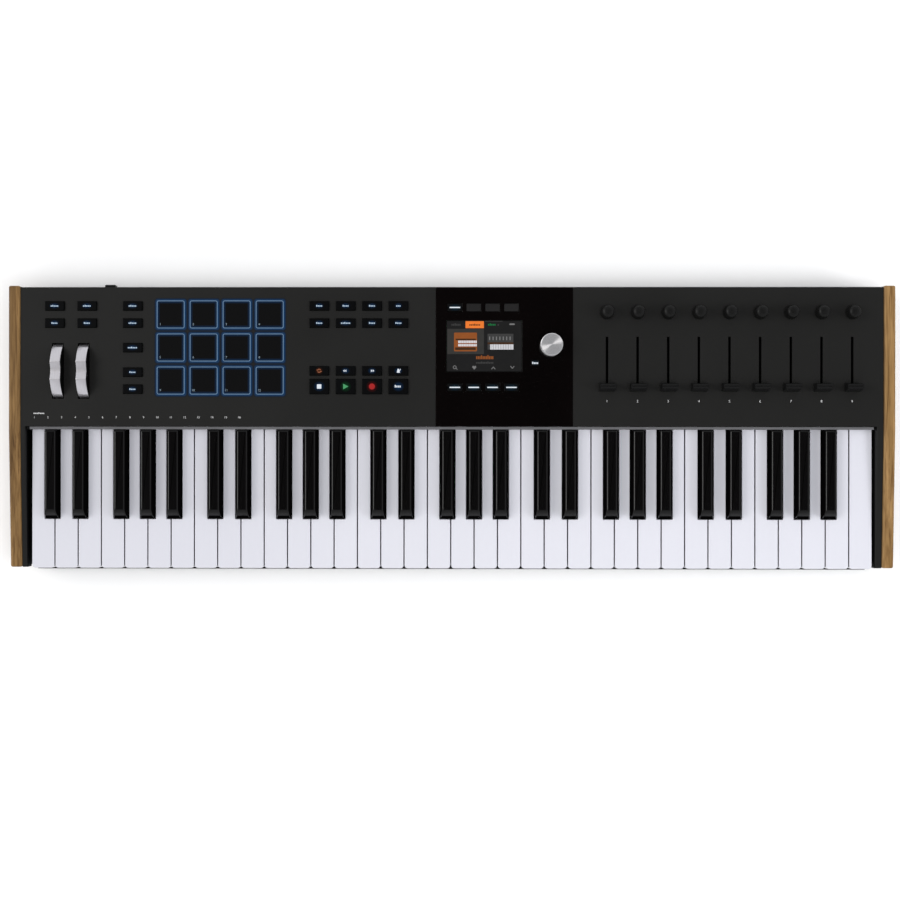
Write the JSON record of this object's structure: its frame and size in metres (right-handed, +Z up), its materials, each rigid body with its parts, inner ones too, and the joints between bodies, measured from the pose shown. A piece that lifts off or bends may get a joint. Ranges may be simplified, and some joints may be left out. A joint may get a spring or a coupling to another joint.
{
  "type": "synthesizer",
  "caption": "Five-octave keyboard controller: wooden cheeks, dark metal panel with drum pads, buttons, wheels, faders and knobs, and a gloss centre fascia with a display.",
  "frame": {"origin": "centre of the footprint at the table surface under the feet", "axes": "+X along the keyboard to the high notes, +Y to the rear sockets, +Z up"},
  "size_m": [0.8868, 0.2874, 0.0755],
  "materials": {
    "panel_metal": "fine textured satin",
    "case_steel": "satin powder coat",
    "gloss_fascia": "gloss",
    "strip_grey": "satin",
    "wood": "satin oiled",
    "chassis": "satin",
    "circuit_board": "satin",
    "display_glass": "gloss",
    "foot_rubber": "matt",
    "key_white": "semi gloss",
    "key_black": "gloss",
    "silicone": "matt",
    "soft_touch": "soft touch",
    "black_plastic": "satin",
    "brushed_aluminium": "brushed",
    "shaft_steel": "satin"
  },
  "bodies": {
    "case": {"bottom_case": "case_steel", "top_panel": "panel_metal", "centre_panel": "gloss_fascia", "nameboard_strip": "strip_grey", "left_cheek": "wood", "right_cheek": "wood", "keybed_frame": "chassis", "key_contact_board": "circuit_board", "main_board": "circuit_board", "io_board": "circuit_board", "display_module": "display_glass", "foot_1": "foot_rubber", "foot_2": "foot_rubber", "foot_3": "foot_rubber", "foot_4": "foot_rubber"},
    "keys_ceg_b_1": {"keys_ceg_b_1": "key_white"},
    "keys_dfa_1": {"keys_dfa_1": "key_white"},
    "keys_black_1": {"keys_black_1": "key_black"},
    "keys_ceg_b_2": {"keys_ceg_b_2": "key_white"},
    "keys_dfa_2": {"keys_dfa_2": "key_white"},
    "keys_black_2": {"keys_black_2": "key_black"},
    "keys_ceg_b_3": {"keys_ceg_b_3": "key_white"},
    "keys_dfa_3": {"keys_dfa_3": "key_white"},
    "keys_black_3": {"keys_black_3": "key_black"},
    "keys_ceg_b_4": {"keys_ceg_b_4": "key_white"},
    "keys_dfa_4": {"keys_dfa_4": "key_white"},
    "keys_black_4": {"keys_black_4": "key_black"},
    "keys_ceg_b_5": {"keys_ceg_b_5": "key_white"},
    "keys_dfa_5": {"keys_dfa_5": "key_white"},
    "keys_black_5": {"keys_black_5": "key_black"},
    "key_top_c": {"key_top_c": "key_white"},
    "pitch_wheel": {"pitch_wheel": "brushed_aluminium"},
    "mod_wheel": {"mod_wheel": "brushed_aluminium"},
    "fader_1": {"fader_1": "black_plastic"},
    "fader_2": {"fader_2": "black_plastic"},
    "fader_3": {"fader_3": "black_plastic"},
    "fader_4": {"fader_4": "black_plastic"},
    "fader_5": {"fader_5": "black_plastic"},
    "fader_6": {"fader_6": "black_plastic"},
    "fader_7": {"fader_7": "black_plastic"},
    "fader_8": {"fader_8": "black_plastic"},
    "fader_9": {"fader_9": "black_plastic"},
    "knob_1": {"knob_1": "soft_touch"},
    "knob_2": {"knob_2": "soft_touch"},
    "knob_3": {"knob_3": "soft_touch"},
    "knob_4": {"knob_4": "soft_touch"},
    "knob_5": {"knob_5": "soft_touch"},
    "knob_6": {"knob_6": "soft_touch"},
    "knob_7": {"knob_7": "soft_touch"},
    "knob_8": {"knob_8": "soft_touch"},
    "knob_9": {"knob_9": "soft_touch"},
    "encoder_shaft": {"encoder_shaft": "shaft_steel"},
    "encoder_knob": {"encoder_knob": "brushed_aluminium"},
    "left_buttons": {"left_buttons": "silicone"},
    "transport_buttons": {"transport_buttons": "silicone"},
    "display_buttons": {"display_buttons": "silicone"},
    "pads_row_1": {"pads_row_1": "silicone"},
    "pads_row_2": {"pads_row_2": "silicone"},
    "pads_row_3": {"pads_row_3": "silicone"},
    "power_switch": {"power_switch": "black_plastic"}
  },
  "joints": [
    {"name": "keys_ceg_b_1_press", "type": "hinge", "parent": "case", "child": "keys_ceg_b_1", "pos_m": [0, 0.01, 0.036], "axis": [1, 0, 0], "range_deg": [0, 3.7], "stiffness_Nm_per_rad": 2, "springref_deg": -11.46},
    {"name": "keys_dfa_1_press", "type": "hinge", "parent": "case", "child": "keys_dfa_1", "pos_m": [0, 0.01, 0.036], "axis": [1, 0, 0], "range_deg": [0, 3.7], "stiffness_Nm_per_rad": 1.5, "springref_deg": -11.46},
    {"name": "keys_black_1_press", "type": "hinge", "parent": "case", "child": "keys_black_1", "pos_m": [0, 0.01, 0.036], "axis": [1, 0, 0], "range_deg": [0, 3.7], "stiffness_Nm_per_rad": 2.5, "springref_deg": -11.46},
    {"name": "keys_ceg_b_2_press", "type": "hinge", "parent": "case", "child": "keys_ceg_b_2", "pos_m": [0, 0.01, 0.036], "axis": [1, 0, 0], "range_deg": [0, 3.7], "stiffness_Nm_per_rad": 2, "springref_deg": -11.46},
    {"name": "keys_dfa_2_press", "type": "hinge", "parent": "case", "child": "keys_dfa_2", "pos_m": [0, 0.01, 0.036], "axis": [1, 0, 0], "range_deg": [0, 3.7], "stiffness_Nm_per_rad": 1.5, "springref_deg": -11.46},
    {"name": "keys_black_2_press", "type": "hinge", "parent": "case", "child": "keys_black_2", "pos_m": [0, 0.01, 0.036], "axis": [1, 0, 0], "range_deg": [0, 3.7], "stiffness_Nm_per_rad": 2.5, "springref_deg": -11.46},
    {"name": "keys_ceg_b_3_press", "type": "hinge", "parent": "case", "child": "keys_ceg_b_3", "pos_m": [0, 0.01, 0.036], "axis": [1, 0, 0], "range_deg": [0, 3.7], "stiffness_Nm_per_rad": 2, "springref_deg": -11.46},
    {"name": "keys_dfa_3_press", "type": "hinge", "parent": "case", "child": "keys_dfa_3", "pos_m": [0, 0.01, 0.036], "axis": [1, 0, 0], "range_deg": [0, 3.7], "stiffness_Nm_per_rad": 1.5, "springref_deg": -11.46},
    {"name": "keys_black_3_press", "type": "hinge", "parent": "case", "child": "keys_black_3", "pos_m": [0, 0.01, 0.036], "axis": [1, 0, 0], "range_deg": [0, 3.7], "stiffness_Nm_per_rad": 2.5, "springref_deg": -11.46},
    {"name": "keys_ceg_b_4_press", "type": "hinge", "parent": "case", "child": "keys_ceg_b_4", "pos_m": [0, 0.01, 0.036], "axis": [1, 0, 0], "range_deg": [0, 3.7], "stiffness_Nm_per_rad": 2, "springref_deg": -11.46},
    {"name": "keys_dfa_4_press", "type": "hinge", "parent": "case", "child": "keys_dfa_4", "pos_m": [0, 0.01, 0.036], "axis": [1, 0, 0], "range_deg": [0, 3.7], "stiffness_Nm_per_rad": 1.5, "springref_deg": -11.46},
    {"name": "keys_black_4_press", "type": "hinge", "parent": "case", "child": "keys_black_4", "pos_m": [0, 0.01, 0.036], "axis": [1, 0, 0], "range_deg": [0, 3.7], "stiffness_Nm_per_rad": 2.5, "springref_deg": -11.46},
    {"name": "keys_ceg_b_5_press", "type": "hinge", "parent": "case", "child": "keys_ceg_b_5", "pos_m": [0, 0.01, 0.036], "axis": [1, 0, 0], "range_deg": [0, 3.7], "stiffness_Nm_per_rad": 2, "springref_deg": -11.46},
    {"name": "keys_dfa_5_press", "type": "hinge", "parent": "case", "child": "keys_dfa_5", "pos_m": [0, 0.01, 0.036], "axis": [1, 0, 0], "range_deg": [0, 3.7], "stiffness_Nm_per_rad": 1.5, "springref_deg": -11.46},
    {"name": "keys_black_5_press", "type": "hinge", "parent": "case", "child": "keys_black_5", "pos_m": [0, 0.01, 0.036], "axis": [1, 0, 0], "range_deg": [0, 3.7], "stiffness_Nm_per_rad": 2.5, "springref_deg": -11.46},
    {"name": "key_top_c_press", "type": "hinge", "parent": "case", "child": "key_top_c", "pos_m": [0, 0.01, 0.036], "axis": [1, 0, 0], "range_deg": [0, 3.7], "stiffness_Nm_per_rad": 0.5, "springref_deg": -11.46},
    {"name": "pitch_bend", "type": "hinge", "parent": "case", "child": "pitch_wheel", "pos_m": [-0.3941, 0.05445, 0.0432], "axis": [-1, 0, 0], "range_deg": [-30, 30], "stiffness_Nm_per_rad": 0.15},
    {"name": "modulation", "type": "hinge", "parent": "case", "child": "mod_wheel", "pos_m": [-0.3682, 0.05445, 0.0432], "axis": [-1, 0, 0], "range_deg": [-30, 30]},
    {"name": "fader_1_slide", "type": "slide", "parent": "case", "child": "fader_1", "axis": [0, 1, 0], "range_m": [0, 0.045]},
    {"name": "fader_2_slide", "type": "slide", "parent": "case", "child": "fader_2", "axis": [0, 1, 0], "range_m": [0, 0.045]},
    {"name": "fader_3_slide", "type": "slide", "parent": "case", "child": "fader_3", "axis": [0, 1, 0], "range_m": [0, 0.045]},
    {"name": "fader_4_slide", "type": "slide", "parent": "case", "child": "fader_4", "axis": [0, 1, 0], "range_m": [0, 0.045]},
    {"name": "fader_5_slide", "type": "slide", "parent": "case", "child": "fader_5", "axis": [0, 1, 0], "range_m": [0, 0.045]},
    {"name": "fader_6_slide", "type": "slide", "parent": "case", "child": "fader_6", "axis": [0, 1, 0], "range_m": [0, 0.045]},
    {"name": "fader_7_slide", "type": "slide", "parent": "case", "child": "fader_7", "axis": [0, 1, 0], "range_m": [0, 0.045]},
    {"name": "fader_8_slide", "type": "slide", "parent": "case", "child": "fader_8", "axis": [0, 1, 0], "range_m": [0, 0.045]},
    {"name": "fader_9_slide", "type": "slide", "parent": "case", "child": "fader_9", "axis": [0, 1, 0], "range_m": [0, 0.045]},
    {"name": "knob_1_turn", "type": "hinge", "parent": "case", "child": "knob_1", "pos_m": [0.1561, 0.113, 0.0611], "axis": [0, 0, 1], "continuous": true},
    {"name": "knob_2_turn", "type": "hinge", "parent": "case", "child": "knob_2", "pos_m": [0.18665, 0.113, 0.0611], "axis": [0, 0, 1], "continuous": true},
    {"name": "knob_3_turn", "type": "hinge", "parent": "case", "child": "knob_3", "pos_m": [0.2172, 0.113, 0.0611], "axis": [0, 0, 1], "continuous": true},
    {"name": "knob_4_turn", "type": "hinge", "parent": "case", "child": "knob_4", "pos_m": [0.24775, 0.113, 0.0611], "axis": [0, 0, 1], "continuous": true},
    {"name": "knob_5_turn", "type": "hinge", "parent": "case", "child": "knob_5", "pos_m": [0.2783, 0.113, 0.0611], "axis": [0, 0, 1], "continuous": true},
    {"name": "knob_6_turn", "type": "hinge", "parent": "case", "child": "knob_6", "pos_m": [0.30885, 0.113, 0.0611], "axis": [0, 0, 1], "continuous": true},
    {"name": "knob_7_turn", "type": "hinge", "parent": "case", "child": "knob_7", "pos_m": [0.3394, 0.113, 0.0611], "axis": [0, 0, 1], "continuous": true},
    {"name": "knob_8_turn", "type": "hinge", "parent": "case", "child": "knob_8", "pos_m": [0.36995, 0.113, 0.0611], "axis": [0, 0, 1], "continuous": true},
    {"name": "knob_9_turn", "type": "hinge", "parent": "case", "child": "knob_9", "pos_m": [0.4005, 0.113, 0.0611], "axis": [0, 0, 1], "continuous": true},
    {"name": "encoder_push", "type": "slide", "parent": "case", "child": "encoder_shaft", "axis": [0, 0, -1], "range_m": [0, 0.0005], "stiffness_N_per_m": 2000, "springref_m": -0.0006},
    {"name": "encoder_turn", "type": "hinge", "parent": "encoder_shaft", "child": "encoder_knob", "pos_m": [0.1004, 0.0804, 0.0617], "axis": [0, 0, 1], "continuous": true},
    {"name": "left_buttons_press", "type": "slide", "parent": "case", "child": "left_buttons", "axis": [0, 0, -1], "range_m": [0, 0.0008], "stiffness_N_per_m": 2500, "springref_m": -0.0008},
    {"name": "transport_buttons_press", "type": "slide", "parent": "case", "child": "transport_buttons", "axis": [0, 0, -1], "range_m": [0, 0.0008], "stiffness_N_per_m": 2500, "springref_m": -0.0008},
    {"name": "display_buttons_press", "type": "slide", "parent": "case", "child": "display_buttons", "axis": [0, 0, -1], "range_m": [0, 0.0008], "stiffness_N_per_m": 2500, "springref_m": -0.0008},
    {"name": "pads_row_1_press", "type": "slide", "parent": "case", "child": "pads_row_1", "axis": [0, 0, -1], "range_m": [0, 0.001], "stiffness_N_per_m": 2500, "springref_m": -0.0008},
    {"name": "pads_row_2_press", "type": "slide", "parent": "case", "child": "pads_row_2", "axis": [0, 0, -1], "range_m": [0, 0.001], "stiffness_N_per_m": 2500, "springref_m": -0.0008},
    {"name": "pads_row_3_press", "type": "slide", "parent": "case", "child": "pads_row_3", "axis": [0, 0, -1], "range_m": [0, 0.001], "stiffness_N_per_m": 2500, "springref_m": -0.0008},
    {"name": "power_push", "type": "slide", "parent": "case", "child": "power_switch", "axis": [0, -1, 0], "range_m": [0, 0.002], "stiffness_N_per_m": 500, "springref_m": -0.002}
  ]
}
